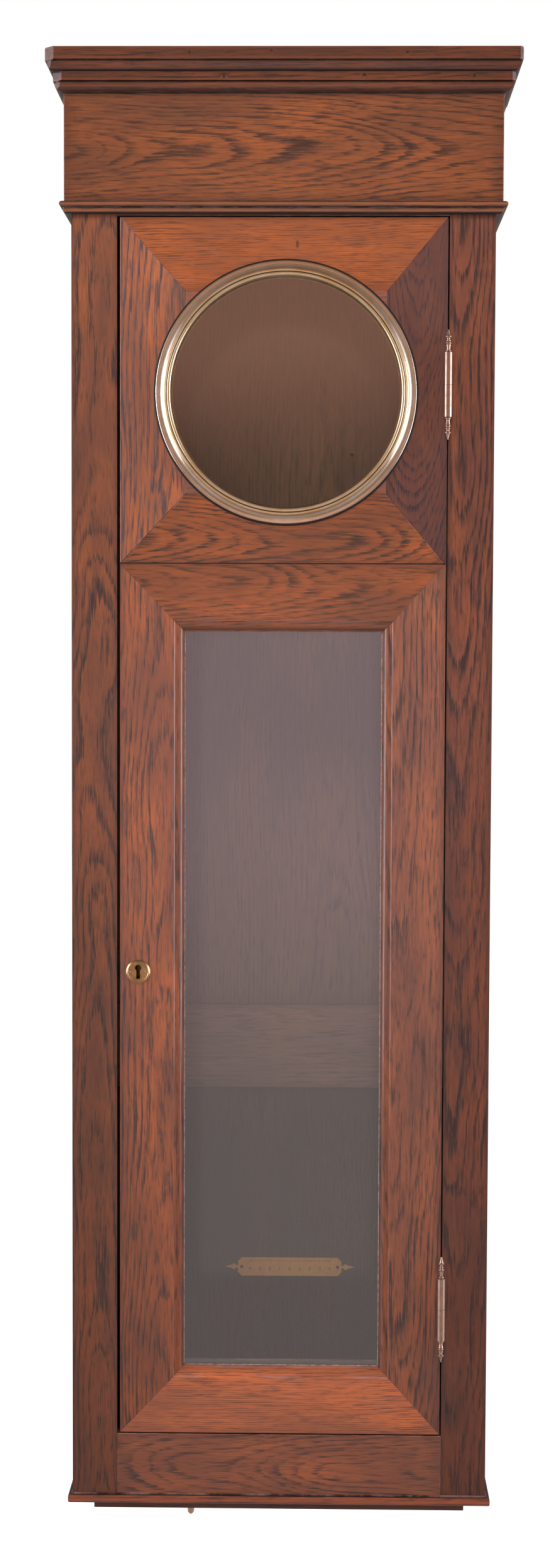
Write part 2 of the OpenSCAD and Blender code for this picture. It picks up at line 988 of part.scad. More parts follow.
// One leaf with its knuckle: the case's leaf carries the lower knuckle and the door's leaf the upper one
module leaf(h, side) {
  x0 = hinge_x + side * leaf_gap;
  x1 = hinge_x + side * (leaf_gap + leaf_t);
  x = [min(x0, x1), max(x0, x1)];
  knuckle_len = barrel_len / 2 - knuckle_gap / 2;
  low = side > 0 ? h - barrel_len / 2 : h + knuckle_gap / 2;
  difference() {
    union() {
      board(x, [face_y + 0.2, face_y + leaf_depth], [h - barrel_len / 2, h + barrel_len / 2]);
      board(x, [hinge_y, face_y + 1], [low, low + knuckle_len]);
      translate([hinge_x, hinge_y, low - hang_h])
        cylinder(r = barrel_r, h = knuckle_len);
    }
    translate([hinge_x, hinge_y, low - 1 - hang_h])
      cylinder(r = side > 0 ? pin_r : pin_r + pin_clearance, h = barrel_len);
    for (p = leaf_screw_spots)
      translate([hinge_x, face_y + p[0], h + p[1] - hang_h])
        rotate([0, side * 90, 0])
          countersunk(screw_r, screw_head_r, 5);
  }
}

module hinge_upper_case_leaf() {
  color(OLD_BRASS)
    leaf(upper_hinge_h, 1);
}

module hinge_lower_case_leaf() {
  color(OLD_BRASS)
    leaf(lower_hinge_h, 1);
}

module hinge_upper_door_leaf() {
  color(OLD_BRASS)
    leaf(upper_hinge_h, -1);
}

module hinge_lower_door_leaf() {
  color(OLD_BRASS)
    leaf(lower_hinge_h, -1);
}

// Turned steeple: bead, vase, two rings, a wider ring and a pointed tip, standing along +Z
module steeple() {
  rotate_extrude()
    polygon(concat(
      [[0, 0], [2.9, 0]],
      arc(2.2, 1.6, 1.3, -90, 90, 5),
      [[2.2, 3.2], [2.4, 6], [2.9, 9]],
      arc(2.2, 10.8, 1.2, -90, 90, 5),
      [[2.1, 12.4]],
      arc(1.9, 13.7, 1.1, -90, 90, 5),
      [[2, 15.2], [2.1, 17]],
      arc(2.7, 18.4, 1, -90, 90, 5),
      [[2.6, 19.8], [1.8, 21.5], [1.2, 24], [0.5, finial_len], [0, finial_len]]
    ));
}

// Pins fixed in the lower knuckles, each with its finial below
module hinge_pins() {
  color(OLD_BRASS)
    for (h = [upper_hinge_h, lower_hinge_h])
      translate([hinge_x, hinge_y, h - hang_h]) {
        translate([0, 0, -barrel_len / 2])
          cylinder(r = pin_r, h = barrel_len - 8);
        translate([0, 0, -barrel_len / 2])
          mirror([0, 0, 1])
            steeple();
      }
}

// Finials screwed into the tops of the door's knuckles
module hinge_finials() {
  color(OLD_BRASS)
    for (h = [upper_hinge_h, lower_hinge_h])
      translate([hinge_x, hinge_y, h + barrel_len / 2 - hang_h]) {
        steeple();
        translate([0, 0, -6])
          cylinder(r = pin_r, h = 7);
      }
}

// Countersunk screws, a hair smaller than their holes, with heads just under the face of the leaf
module leaf_screws(side) {
  sunk = leaf_gap + screw_clearance;
  for (h = [upper_hinge_h, lower_hinge_h], p = leaf_screw_spots)
    translate([hinge_x, face_y + p[0], h + p[1] - hang_h])
      rotate([0, side * 90, 0])
        difference() {
          countersunk(screw_r - screw_clearance, screw_head_r - screw_clearance, screw_len);
          translate([0, 0, sunk - screw_head_r])
            cylinder(r = screw_head_r, h = screw_head_r);
        }
}

module hinge_case_screws() {
  color(OLD_BRASS)
    leaf_screws(1);
}

module hinge_door_screws() {
  color(OLD_BRASS)
    leaf_screws(-1);
}

side_panel_left();
side_panel_right();
face_stile_left();
face_stile_right();
face_bottom_rail();
face_top_rail();
top_board();
floor_board();
bottom_board();
bottom_peg();
back_panel_upper();
back_cross_rail();
back_panel_lower();
frieze_front();
frieze_left();
frieze_right();
crown_upper_front();
crown_upper_left();
crown_upper_right();
crown_lower_front();
crown_lower_left();
crown_lower_right();
string_front();
string_left();
string_right();
base_front();
base_left();
base_right();
hanger_plate();
hanger_screws();
beat_scale();
beat_scale_screws();
strike_plate();
hinge_upper_case_leaf();
hinge_lower_case_leaf();
hinge_pins();
hinge_case_screws();
upper_frame_top();
upper_frame_bottom();
upper_frame_left();
upper_frame_right();
spandrels();
bezel();
round_glass();
glass_ring();
lower_frame_top();
lower_frame_bottom();
lower_frame_left();
lower_frame_right();
long_glass();
glazing_beads();
escutcheon();
escutcheon_pins();
lock_case();
lock_cap();
lock_bolt();
hinge_upper_door_leaf();
hinge_lower_door_leaf();
hinge_finials();
hinge_door_screws();
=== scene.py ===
"""Looks of a wall-hung oak master clock case: stained oak with worn arrises, aged brass and old glass.

Everything is in metres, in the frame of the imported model: X right, Y back to the wall, Z up.
"""
import json
import math

import bmesh
import bpy
from mathutils import Matrix, Vector


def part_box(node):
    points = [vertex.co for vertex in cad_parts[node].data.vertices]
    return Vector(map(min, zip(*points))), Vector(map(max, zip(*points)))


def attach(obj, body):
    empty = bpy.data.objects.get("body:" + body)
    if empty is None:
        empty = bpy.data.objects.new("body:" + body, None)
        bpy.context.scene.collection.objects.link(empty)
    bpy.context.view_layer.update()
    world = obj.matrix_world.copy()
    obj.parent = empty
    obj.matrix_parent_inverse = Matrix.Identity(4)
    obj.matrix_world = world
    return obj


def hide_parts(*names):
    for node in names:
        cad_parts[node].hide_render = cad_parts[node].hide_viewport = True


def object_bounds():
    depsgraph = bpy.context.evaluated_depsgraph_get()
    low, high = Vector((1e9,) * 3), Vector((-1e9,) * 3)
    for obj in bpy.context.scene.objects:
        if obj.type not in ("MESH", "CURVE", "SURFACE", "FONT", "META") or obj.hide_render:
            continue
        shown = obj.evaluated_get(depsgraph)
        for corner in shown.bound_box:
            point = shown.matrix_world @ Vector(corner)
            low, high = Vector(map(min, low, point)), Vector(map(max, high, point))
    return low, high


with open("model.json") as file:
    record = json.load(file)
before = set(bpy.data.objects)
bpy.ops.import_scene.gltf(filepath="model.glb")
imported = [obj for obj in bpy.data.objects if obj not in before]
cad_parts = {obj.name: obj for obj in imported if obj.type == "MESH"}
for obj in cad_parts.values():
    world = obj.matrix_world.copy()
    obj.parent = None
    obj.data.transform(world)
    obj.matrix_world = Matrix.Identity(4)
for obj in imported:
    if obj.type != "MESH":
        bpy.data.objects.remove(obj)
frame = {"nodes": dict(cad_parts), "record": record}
cad_low, cad_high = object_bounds()

MM = 0.001
AXES = "XYZ"
BACK = Vector((0, 1, 0))
BODY_OF = {node: body for body, nodes in frame["record"]["behaviour"]["bodies"].items() for node in nodes}


# ---------- small tools ----------

def srgb(r, g, b):
    """A colour given as 0-255 display values, as the linear colour that shaders take."""
    def linear(v):
        v /= 255
        return v / 12.92 if v <= 0.04045 else ((v + 0.055) / 1.055) ** 2.4
    return (linear(r), linear(g), linear(b), 1.0)


def toned(colour, gains):
    """A colour with its red, green and blue multiplied, and none of them past full strength."""
    return tuple(min(1.0, v * gain) for v, gain in zip(colour[:3], gains)) + (1.0,)


def new_object(name, data):
    piece = bpy.data.objects.new(name, data)
    bpy.context.scene.collection.objects.link(piece)
    return piece


def from_bmesh(name, bm):
    mesh = bpy.data.meshes.new(name)
    bm.normal_update()
    bm.to_mesh(mesh)
    bm.free()
    return new_object(name, mesh)


SHARP = math.radians(35)


def smooth(piece):
    for polygon in piece.data.polygons:
        polygon.use_smooth = True
    piece.data.set_sharp_from_angle(angle=SHARP)


# ---------- material nodes ----------

class Tree:
    """Short names for building a material's nodes."""

    def __init__(self, name):
        self.material = bpy.data.materials.new(name)
        self.material.use_nodes = True
        self.nodes = self.material.node_tree.nodes
        self.links = self.material.node_tree.links
        self.shader = self.nodes["Principled BSDF"]
        self.place = self.nodes.new("ShaderNodeTexCoord").outputs["Object"]

    def put(self, socket, value):
        if isinstance(value, bpy.types.NodeSocket):
            self.links.new(value, socket)
        else:
            socket.default_value = value

    def math(self, operation, a, b=0.0, c=0.0, clamp=False):
        node = self.nodes.new("ShaderNodeMath")
        node.operation = operation
        node.use_clamp = clamp
        for socket, value in zip(node.inputs, (a, b, c)):
            self.put(socket, value)
        return node.outputs[0]

    def hypot(self, a, b):
        return self.math("SQRT", self.math("ADD", self.math("MULTIPLY", a, a), self.math("MULTIPLY", b, b)))

    def split(self, vector):
        node = self.nodes.new("ShaderNodeSeparateXYZ")
        self.put(node.inputs[0], vector)
        return node.outputs

    def join(self, x, y, z):
        node = self.nodes.new("ShaderNodeCombineXYZ")
        for socket, value in zip(node.inputs, (x, y, z)):
            self.put(socket, value)
        return node.outputs[0]

    def noise(self, vector, scale, detail=2.0, roughness=0.5):
        node = self.nodes.new("ShaderNodeTexNoise")
        self.put(node.inputs["Vector"], vector)
        node.inputs["Scale"].default_value = scale
        node.inputs["Detail"].default_value = detail
        node.inputs["Roughness"].default_value = roughness
        return node.outputs["Fac"]

    def span(self, value, low, high, out_low=0.0, out_high=1.0, curve="LINEAR"):
        node = self.nodes.new("ShaderNodeMapRange")
        node.interpolation_type = curve
        self.put(node.inputs["Value"], value)
        node.inputs["From Min"].default_value = low
        node.inputs["From Max"].default_value = high
        node.inputs["To Min"].default_value = out_low
        node.inputs["To Max"].default_value = out_high
        return node.outputs["Result"]

    def ramp(self, value, stops):
        node = self.nodes.new("ShaderNodeValToRGB")
        self.put(node.inputs[0], value)
        for element, (position, colour) in zip(node.color_ramp.elements, stops):
            element.position = position
            element.color = colour
        return node.outputs[0]

    def mix(self, factor, a, b, blend="MIX"):
        node = self.nodes.new("ShaderNodeMix")
        node.data_type = "RGBA"
        node.blend_type = blend
        self.put(node.inputs[0], factor)
        self.put(node.inputs[6], a)
        self.put(node.inputs[7], b)
        return node.outputs[2]

    def mix_surface(self, factor, a, b):
        """Sets the material's surface to shader a, with shader b over it by factor."""
        node = self.nodes.new("ShaderNodeMixShader")
        for socket, value in zip(node.inputs, (factor, a, b)):
            self.put(socket, value)
        self.put(self.nodes["Material Output"].inputs["Surface"], node.outputs[0])

    def bump(self, height, strength, distance):
        node = self.nodes.new("ShaderNodeBump")
        node.inputs["Strength"].default_value = strength
        node.inputs["Distance"].default_value = distance
        self.put(node.inputs["Height"], height)
        return node.outputs[0]

    def front_facing(self):
        return self.math("SUBTRACT", 1.0, self.nodes.new("ShaderNodeNewGeometry").outputs["Backfacing"])

    def camera_ray(self):
        return self.nodes.new("ShaderNodeLightPath").outputs["Is Camera Ray"]

    def set(self, **values):
        for name, value in values.items():
            self.put(self.shader.inputs[name.replace("_", " ")], value)


def speckled(name, grain, edges, one, other, roughness):
    """A dull material of two colours. grain is the noise that mixes them, edges where it changes over."""
    t = Tree(name)
    patch = t.span(t.noise(t.place, *grain), *edges)
    t.set(Base_Color=t.mix(patch, one, other), Roughness=roughness)
    return t.material


# ---------- oak ----------

# Noise drawn out along the grain: periods per metre across it and along it, detail, roughness, shift.
SWAY = (3.0, 1.7, 2.0, 0.5, 0.0)
HEAVE = (8.0, 4.0, 1.0, 0.5, 5.0)
WANDER = (26.0, 7.0, 1.0, 0.5, 9.0)
STREAKS = (330.0, 12.0, 2.0, 0.6, 2.0)
BREAKS = (20.0, 6.0, 2.0, 0.5, 6.0)
PORES = (600.0, 34.0, 2.0, 0.65, 1.0)
HAIRS = (1500.0, 40.0, 1.0, 0.5, 3.0)
DASHES = (360.0, 44.0, 2.0, 0.6, 12.0)
ISLANDS = (60.0, 20.0, 3.0, 0.65, 8.0)
CLOUDS = (21.0, 6.0, 3.0, 0.55, 7.0)
WEAR = (60.0, 40.0, 3.0, 0.6, 4.0)

# How far the rings stray sideways and in depth, in metres, and then by how many rings.
SWAY_REACH = 0.03
HEAVE_REACH = 0.03
WANDER_RINGS = 1.1
# How dark the marks between the rings are, and the pores of the rings.
HAIR_DARK = 0.16
PORE_DARK = 0.14
DASH_DARK = 0.26
ISLAND_DARK = 0.25
RING_DARK = 0.3
RING_PORE_DARK = 0.55
KNOT_DARK = 0.8
# Red, green and blue gains of the stain where it is thin and where it is thick.
LIT = (1.3, 1.16, 0.86)
DIM = (0.7, 0.74, 0.82)
# Each board darkens towards its edges, from this far in, or from this part of a narrow board.
EDGE_DARK_REACH = 12 * MM
EDGE_DARK_PART = 0.14
# How far from its middle a moulding's nose carries its painted highlight, where the stain is also worn, and
# its quirk its dark line of wax and painted shade: none, and in full.
LIT_NOSE_EDGES = (2.2 * MM, 0.4 * MM)
SHADED_QUIRK_EDGES = (1.5 * MM, 0.6 * MM)
NOSE_RUB_AND_HIGHLIGHT = 0.55
COAT = 0.6
COAT_ROUGHNESS = 0.14
SPECULAR = 0.25
RELIEF = 0.22
RELIEF_DEPTH = 0.6 * MM

# Colour of the dark lines in the quirks: wax, and painted shade where the quirk lies in shadow.
WAX_AND_SHADE = srgb(34, 22, 20)
# Pale lilac of the arrises: worn stain, and a painted highlight of their sheen.
RUBBED_SHEEN = srgb(178, 142, 134)
# Painted shade: gains that darken a standing board's lower half, as the light falls off towards the bottom.
FOOT_SHADE = (0.74, 0.64, 0.54, 1)


def oak(name, light, dark, box, along, normal, seed, pith=(0.0, 0.045), lean=0.03, rings=230.0,
        ragged=0.9, figure=1.0, gloss=0.42, rub_and_sheen=0.0, knots=(), shaded_quirks=(), lit_noses=(), foot=None):
    """Flat-sawn oak under a red-brown stain, as a board cut from a round trunk.

    box is the board's (low, high) corners, along the axis of its grain and normal the axis through it. The
    growth rings are circles about the pith, which lies pith[0] to one side of the board's own axis and
    pith[1] behind its face, and leans by lean, so that the rings run out of the face as arches. rings is
    their number per metre, ragged how far the pores break up their edges, figure how dark their open
    grain is, and rub_and_sheen how far the stain turns pale, as worn off and as a painted highlight.
    knots holds (place along the board, place across it, radius, stretch across it) of each pin knot or
    nail head, from the board's middle. shaded_quirks and lit_noses are the heights on a moulding, above
    its lowest point, of dark lines of wax and painted shade, and of painted highlights where the stain has
    also worn off. foot darkens a standing board's lower half with painted shade, darker towards the bottom.
    """
    t = Tree(name)
    low, high = box
    xyz = t.split(t.place)
    across = next(a for a in AXES if a not in (along, normal))
    i_run, i_wide, i_deep = (AXES.index(a) for a in (along, across, normal))
    side_out = low if normal == "Y" or high[i_deep] < 0 else high
    run = t.math("SUBTRACT", xyz[i_run], (low[i_run] + high[i_run]) / 2)
    wide = t.math("SUBTRACT", xyz[i_wide], (low[i_wide] + high[i_wide]) / 2 + pith[0])
    deep = t.math("ABSOLUTE", t.math("SUBTRACT", xyz[i_deep], side_out[i_deep]))

    def along_grain(across_scale, run_scale, detail, roughness, shift):
        spot = t.join(t.math("MULTIPLY_ADD", wide, across_scale, seed * 3.1 + shift),
                      t.math("MULTIPLY_ADD", deep, across_scale, seed * 1.7),
                      t.math("MULTIPLY_ADD", run, run_scale, seed))
        return t.noise(spot, 1.0, detail, roughness)

    def either_way(grain):
        return t.math("SUBTRACT", along_grain(*grain), 0.5)

    side = t.math("MULTIPLY_ADD", either_way(SWAY), SWAY_REACH, wide)
    heave = t.math("MULTIPLY_ADD", either_way(HEAVE), HEAVE_REACH, pith[1])
    back = t.math("ADD", deep, t.math("MULTIPLY_ADD", run, lean, heave))
    phase = t.math("MULTIPLY_ADD", t.hypot(side, back), rings,
                   t.math("MULTIPLY", either_way(WANDER), WANDER_RINGS))
    phase = t.math("MULTIPLY_ADD", either_way(STREAKS), ragged, phase)
    knotted = 0.0
    for knot_run, knot_wide, size, stretch in knots:
        off_run = t.math("DIVIDE", t.math("SUBTRACT", run, knot_run), size)
        off_wide = t.math("DIVIDE", t.math("SUBTRACT", wide, knot_wide - pith[0]), size * stretch)
        off = t.hypot(off_run, off_wide)
        near = t.span(off, 3.0, 0.3, curve="SMOOTHSTEP")
        phase = t.math("MULTIPLY_ADD", near, stretch, phase)
        knotted = t.math("ADD", knotted, t.span(off, 1.1, 0.5, 0.0, KNOT_DARK))

    # Each ring starts with a band of open pores, the early wood, that fades out over part of the ring.
    ring = t.math("FRACT", phase)
    year = t.noise(t.join(t.math("FLOOR", phase), seed, 0.0), 0.9, 0.0)
    width = t.span(year, 0.3, 0.7, 0.3, 0.72)
    fade = t.math("DIVIDE", t.math("SUBTRACT", width, ring), t.math("MULTIPLY", width, 0.9), clamp=True)
    early = t.math("MULTIPLY", fade, t.span(ring, 0.0, 0.16, curve="SMOOTHSTEP"))
    early = t.math("MULTIPLY", early, t.span(along_grain(*BREAKS), 0.35, 0.62, 0.4, 1.25))

    pores = t.span(along_grain(*PORES), 0.4, 0.62)
    hairs = t.span(along_grain(*HAIRS), 0.38, 0.66)
    dashes = t.span(along_grain(*DASHES), 0.5, 0.66)
    islands = t.span(along_grain(*ISLANDS), 0.56, 0.72)
    late = t.math("MULTIPLY_ADD", hairs, HAIR_DARK, t.math("MULTIPLY", pores, PORE_DARK))
    late = t.math("MULTIPLY_ADD", dashes, DASH_DARK, late)
    late = t.math("MULTIPLY_ADD", islands, ISLAND_DARK * figure, late)
    depth = t.math("MULTIPLY_ADD", pores, RING_PORE_DARK * figure, RING_DARK * figure)
    band = t.math("MULTIPLY", early, depth)
    grain = t.math("ADD", t.math("ADD", band, late), knotted, clamp=True)

    cloud = along_grain(*CLOUDS)
    between = tuple(math.sqrt(a * b) for a, b in zip(light, dark))
    lit = toned(light, LIT)
    stained = t.mix(t.span(cloud, 0.34, 0.66), toned(light, DIM), lit)
    stained = t.mix(t.span(grain, 0.0, 0.55), stained, between)
    stained = t.mix(t.span(grain, 0.4, 1.0), stained, dark)

    half_run = (high[i_run] - low[i_run]) / 2
    half_wide = (high[i_wide] - low[i_wide]) / 2
    end_gap = t.math("SUBTRACT", half_run, t.math("ABSOLUTE", run))
    side_gap = t.math("SUBTRACT", half_wide, t.math("ABSOLUTE", t.math("ADD", wide, pith[0])))
    gap = t.math("MINIMUM", t.math("MULTIPLY", end_gap, 0.5), side_gap)
    reach = min(EDGE_DARK_REACH, 2 * half_wide * EDGE_DARK_PART)
    # Darker towards the board's edges, more in some patches than in others.
    edge = t.span(gap, reach, 0.0, curve="SMOOTHSTEP")
    edge_dark = t.math("MULTIPLY", edge, t.span(cloud, 0.35, 0.65, 0.15, 0.55))
    stained = t.mix(edge_dark, stained, dark)

    def off_height(height):
        return t.math("ABSOLUTE", t.math("SUBTRACT", xyz[2], low[2] + height))

    # Painted highlights along the noses, where the stain is also worn.
    for height in lit_noses:
        stained = t.mix(t.span(off_height(height), *LIT_NOSE_EDGES, 0.0, NOSE_RUB_AND_HIGHLIGHT), stained, lit)
    # Dark lines of wax and painted shade in the quirks.
    for height in shaded_quirks:
        stained = t.mix(t.span(off_height(height), *SHADED_QUIRK_EDGES), stained, WAX_AND_SHADE)
    # Painted shade: a standing board darker towards its foot.
    if foot:
        stained = t.mix(t.span(run, 0.1, -half_run), stained, foot, "MULTIPLY")
    # Pale lilac patches, worn stain and a painted highlight; only the arris material gets them.
    if rub_and_sheen:
        stained = t.mix(t.span(along_grain(*WEAR), 0.42, 0.62, 0.0, rub_and_sheen), stained, RUBBED_SHEEN)

    relief = t.math("MULTIPLY_ADD", pores, -0.5, t.math("MULTIPLY", grain, -0.6))
    t.set(Base_Color=stained, Roughness=t.math("MULTIPLY_ADD", grain, 0.1, gloss))
    t.set(Specular_IOR_Level=SPECULAR, Coat_Weight=COAT, Coat_Roughness=COAT_ROUGHNESS)
    t.set(Normal=t.bump(relief, RELIEF, RELIEF_DEPTH))
    return t.material


WELD = 2e-6
FLAT = math.radians(0.5)
ARRIS_ANGLE = math.radians(28)
# The rounded arrises are paler than the face: worn stain, and a painted highlight.
ARRIS_SHEEN_TINT = 1.12
ARRIS_RUB_AND_SHEEN = 0.6


def worn_board(node, light, dark, seed, along="X", normal="Y", arris=0.7 * MM, **look):
    """A board of the CAD model with its sharp arrises rounded by handling, in place of the CAD node."""
    bm = bmesh.new()
    bm.from_mesh(frame["nodes"][node].data)
    bmesh.ops.remove_doubles(bm, verts=bm.verts, dist=WELD)
    bmesh.ops.dissolve_limit(bm, angle_limit=FLAT, verts=bm.verts, edges=bm.edges)
    piece = from_bmesh(node + "_worn", bm)
    look.update(along=along, normal=normal, seed=seed)
    # The second material, on the rounded arrises, is paler: worn stain and a painted highlight.
    for name, tint, rub_and_sheen in ((node, 1.0, 0.0), (node + "_arris", ARRIS_SHEEN_TINT, ARRIS_RUB_AND_SHEEN)):
        gains = (tint, tint, tint)
        material = oak(name, toned(light, gains), toned(dark, gains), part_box(node), rub_and_sheen=rub_and_sheen, **look)
        piece.data.materials.append(material)
    bevel = piece.modifiers.new("arris", "BEVEL")
    bevel.width = arris
    bevel.segments = 2
    bevel.limit_method = "ANGLE"
    bevel.angle_limit = ARRIS_ANGLE
    bevel.use_clamp_overlap = True
    bevel.material = 1
    smooth(piece)
    normals = piece.modifiers.new("normals", "WEIGHTED_NORMAL")
    normals.keep_sharp = False
    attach(piece, BODY_OF[node])
    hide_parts(node)


# Stain colours of the boards: between the growth rings, and in the open grain.
FRIEZE = (srgb(148, 86, 55), srgb(63, 43, 37))
CROWN = (srgb(112, 64, 46), srgb(48, 34, 32))
STRING = (srgb(145, 92, 67), srgb(64, 46, 41))
STILE_L = (srgb(147, 90, 68), srgb(67, 52, 51))
STILE_R = (srgb(140, 83, 65), srgb(59, 43, 44))
UPPER_TOP = (srgb(176, 98, 57), srgb(103, 61, 45))
UPPER_LEFT = (srgb(185, 111, 79), srgb(90, 74, 79))
UPPER_RIGHT = (srgb(119, 75, 65), srgb(61, 48, 58))
UPPER_LOW = (srgb(171, 97, 61), srgb(75, 54, 48))
LOWER_TOP = (srgb(168, 96, 62), srgb(86, 59, 48))
LOWER_LEFT = (srgb(180, 107, 78), srgb(83, 64, 64))
LOWER_RIGHT = (srgb(171, 107, 85), srgb(80, 61, 59))
LOWER_LOW = (srgb(207, 117, 77), srgb(119, 74, 56))
RAIL = (srgb(164, 97, 71), srgb(78, 56, 50))
BASE = (srgb(161, 88, 62), srgb(77, 52, 44))
SIDES = (srgb(124, 76, 58), srgb(60, 42, 38))
INSIDE = (srgb(130, 100, 86), srgb(68, 54, 48))
INSIDE_LOW = (srgb(74, 60, 54), srgb(44, 36, 34))
BATTEN = (srgb(150, 112, 98), srgb(88, 66, 58))
BEADS = (srgb(92, 78, 74), srgb(60, 50, 48))

# The boards on either side of the seam across the door are worn rounder than the rest.
SEAM_ARRIS = 1.2 * MM
BLOCK_ARRIS = 0.4 * MM

# The door and the face of the case: colours, then the look of each board as oak() and worn_board() take it.
FACE_BOARDS = {
    "frieze_front": (FRIEZE, dict(pith=(-0.004, 0.05), seed=1.3, lean=0.07, rings=250.0)),
    "face_stile_left": (
        STILE_L, dict(along="Z", foot=FOOT_SHADE, pith=(0.004, 0.05), seed=4.1, lean=0.03, figure=1.2)),
    "face_stile_right": (
        STILE_R, dict(along="Z", foot=FOOT_SHADE, pith=(-0.012, 0.045), seed=5.6, lean=-0.035, figure=1.2)),
    "face_bottom_rail": (RAIL, dict(pith=(0.0, 0.045), seed=6.4, lean=-0.09)),
    "upper_frame_top": (
        UPPER_TOP, dict(pith=(0.07, 0.03), seed=7.7, rings=420.0, ragged=1.6,
                        knots=((0.016, 0.012, 0.0022, 2.4),))),
    "upper_frame_bottom": (
        UPPER_LOW, dict(pith=(-0.01, 0.05), seed=8.4, lean=0.1, rings=280.0, arris=SEAM_ARRIS)),
    "upper_frame_left": (
        UPPER_LEFT, dict(along="Z", pith=(0.03, 0.03), seed=9.9, rings=180.0, ragged=1.3, figure=1.6)),
    "upper_frame_right": (
        UPPER_RIGHT, dict(along="Z", pith=(0.0, 0.05), seed=10.6, lean=-0.14, rings=360.0)),
    "lower_frame_top": (
        LOWER_TOP, dict(pith=(0.02, 0.05), seed=11.5, lean=0.08, rings=260.0, arris=SEAM_ARRIS)),
    "lower_frame_bottom": (LOWER_LOW, dict(pith=(0.08, 0.03), seed=12.8, rings=420.0, ragged=1.6)),
    "lower_frame_left": (
        LOWER_LEFT, dict(along="Z", foot=FOOT_SHADE, pith=(0.02, 0.045), seed=13.1, ragged=1.0)),
    "lower_frame_right": (
        LOWER_RIGHT, dict(along="Z", foot=FOOT_SHADE, pith=(-0.02, 0.045), seed=14.9, lean=-0.04)),
    "spandrels": (UPPER_LEFT, dict(seed=41.0, arris=BLOCK_ARRIS)),
}

# The boards seen only through the glass, from behind or from below.
HIDDEN_BOARDS = {
    "back_panel_upper": (INSIDE, dict(along="Z", pith=(0.06, 0.06), seed=51.0, lean=0.02)),
    "back_cross_rail": (BATTEN, dict(pith=(0.02, 0.05), seed=52.0)),
    "back_panel_lower": (INSIDE_LOW, dict(along="Z", pith=(-0.04, 0.07), seed=53.0)),
    "top_board": (INSIDE, dict(normal="Z", seed=54.0)),
    "floor_board": (INSIDE, dict(normal="Z", seed=55.0)),
    "face_top_rail": (INSIDE, dict(seed=56.0)),
    "bottom_board": (SIDES, dict(normal="Z", seed=57.0)),
    "glazing_beads": (BEADS, dict(seed=58.0)),
}
HIDDEN_LOOK = dict(gloss=0.55, arris=0.5 * MM, figure=0.6)

# Each moulding's colours, the heights of its quirks, with dark lines of wax and painted shade, and those of
# its noses, with painted highlights.
MOULDINGS = {
    "crown_upper": (CROWN, (0.0004, 0.0114), (0.0135, 0.0262)),
    "crown_lower": (CROWN, (0.0004, 0.0113), (0.0065, 0.0135)),
    "frieze": (FRIEZE, (), ()),
    "string": (STRING, (0.001, 0.0072, 0.0143), (0.011, 0.0035)),
    "base": (BASE, (0.0108,), (0.0045,)),
}
# Nail heads in the crown's front pieces, given as oak() takes a knot.
NAILS = {
    "crown_upper": ((-0.112, 0.006, 0.0018, 1.0), (-0.016, 0.008, 0.0018, 1.0), (0.143, 0.006, 0.0018, 1.0)),
    "crown_lower": ((-0.072, 0.006, 0.0022, 1.0), (0.093, 0.007, 0.0022, 1.0), (0.222, 0.006, 0.0022, 1.0)),
}
# First seeds of the grain of the mouldings' fronts, of their returns and of the side panels.
FRONT_SEED = 15.0
RETURN_SEED = 21.0
PANEL_SEED = 31.0


def make_boards():
    boards = dict(FACE_BOARDS)
    for index, (part, (colours, shaded_quirks, lit_noses)) in enumerate(MOULDINGS.items()):
        # Dark lines of wax and painted shade in the quirks, painted highlights on the noses.
        worn = dict(shaded_quirks=shaded_quirks, lit_noses=lit_noses)
        if part != "frieze":
            look = dict(pith=(0.05, 0.04), seed=FRONT_SEED + index, knots=NAILS.get(part, ()), **worn)
            boards[f"{part}_front"] = (colours, look)
        for turn, side in enumerate(("left", "right")):
            seed = RETURN_SEED + 2 * index + turn
            look = dict(along="Y", normal="X", pith=(0.03, 0.045), seed=seed, **worn)
            boards[f"{part}_{side}"] = (colours, look)
    for index, side in enumerate(("left", "right")):
        look = dict(along="Z", normal="X", pith=(0.02, 0.07), seed=PANEL_SEED + index)
        boards[f"side_panel_{side}"] = (SIDES, look)
    for node, (colours, look) in HIDDEN_BOARDS.items():
        boards[node] = (colours, {**look, **HIDDEN_LOOK})
    for node, (colours, look) in boards.items():
        worn_board(node, *colours, **look)


# ---------- turned shapes ----------

LATHE_STEPS = 256


def lathe(name, profile, centre_x, centre_z, face_y):
    """Turns a closed profile of (radius, height off the face) about a line from front to back."""
    bm = bmesh.new()
    rings = []
    for i in range(LATHE_STEPS):
        angle = 2 * math.pi * i / LATHE_STEPS
        east, north = math.cos(angle), math.sin(angle)
        points = [(centre_x + r * east, face_y - h, centre_z + r * north) for r, h in profile]
        rings.append([bm.verts.new(point) for point in points])
    count = len(profile)
    for i in range(LATHE_STEPS):
        here, there = rings[i], rings[(i + 1) % LATHE_STEPS]
        for j in range(count):
            k = (j + 1) % count
            bm.faces.new((here[j], here[k], there[k], there[j]))
    bmesh.ops.recalc_face_normals(bm, faces=bm.faces)
    return from_bmesh(name, bm)


def arc(x, y, r, start, end, steps):
    """Points of an arc in a profile, in millimetres and degrees."""
    angles = [math.radians(start + (end - start) * i / steps) for i in range(steps + 1)]
    return [(x + r * math.cos(a), y + r * math.sin(a)) for a in angles]


# ---------- dark wax in the joints, a dark ring round the bezel, painted highlights along the glass ---

# Part of each mitre, from its outer corner, that has wax in it.
MITRE_REACH = 0.82
THIN_WAX = 0.8 * MM
SEAM_WAX = 2.6 * MM
# Width of the pale strips along the long glass, painted highlights of the sheen on the moulding's lip.
SHEEN_WIDTH = 1.1 * MM
STRIP_STEP = 8 * MM
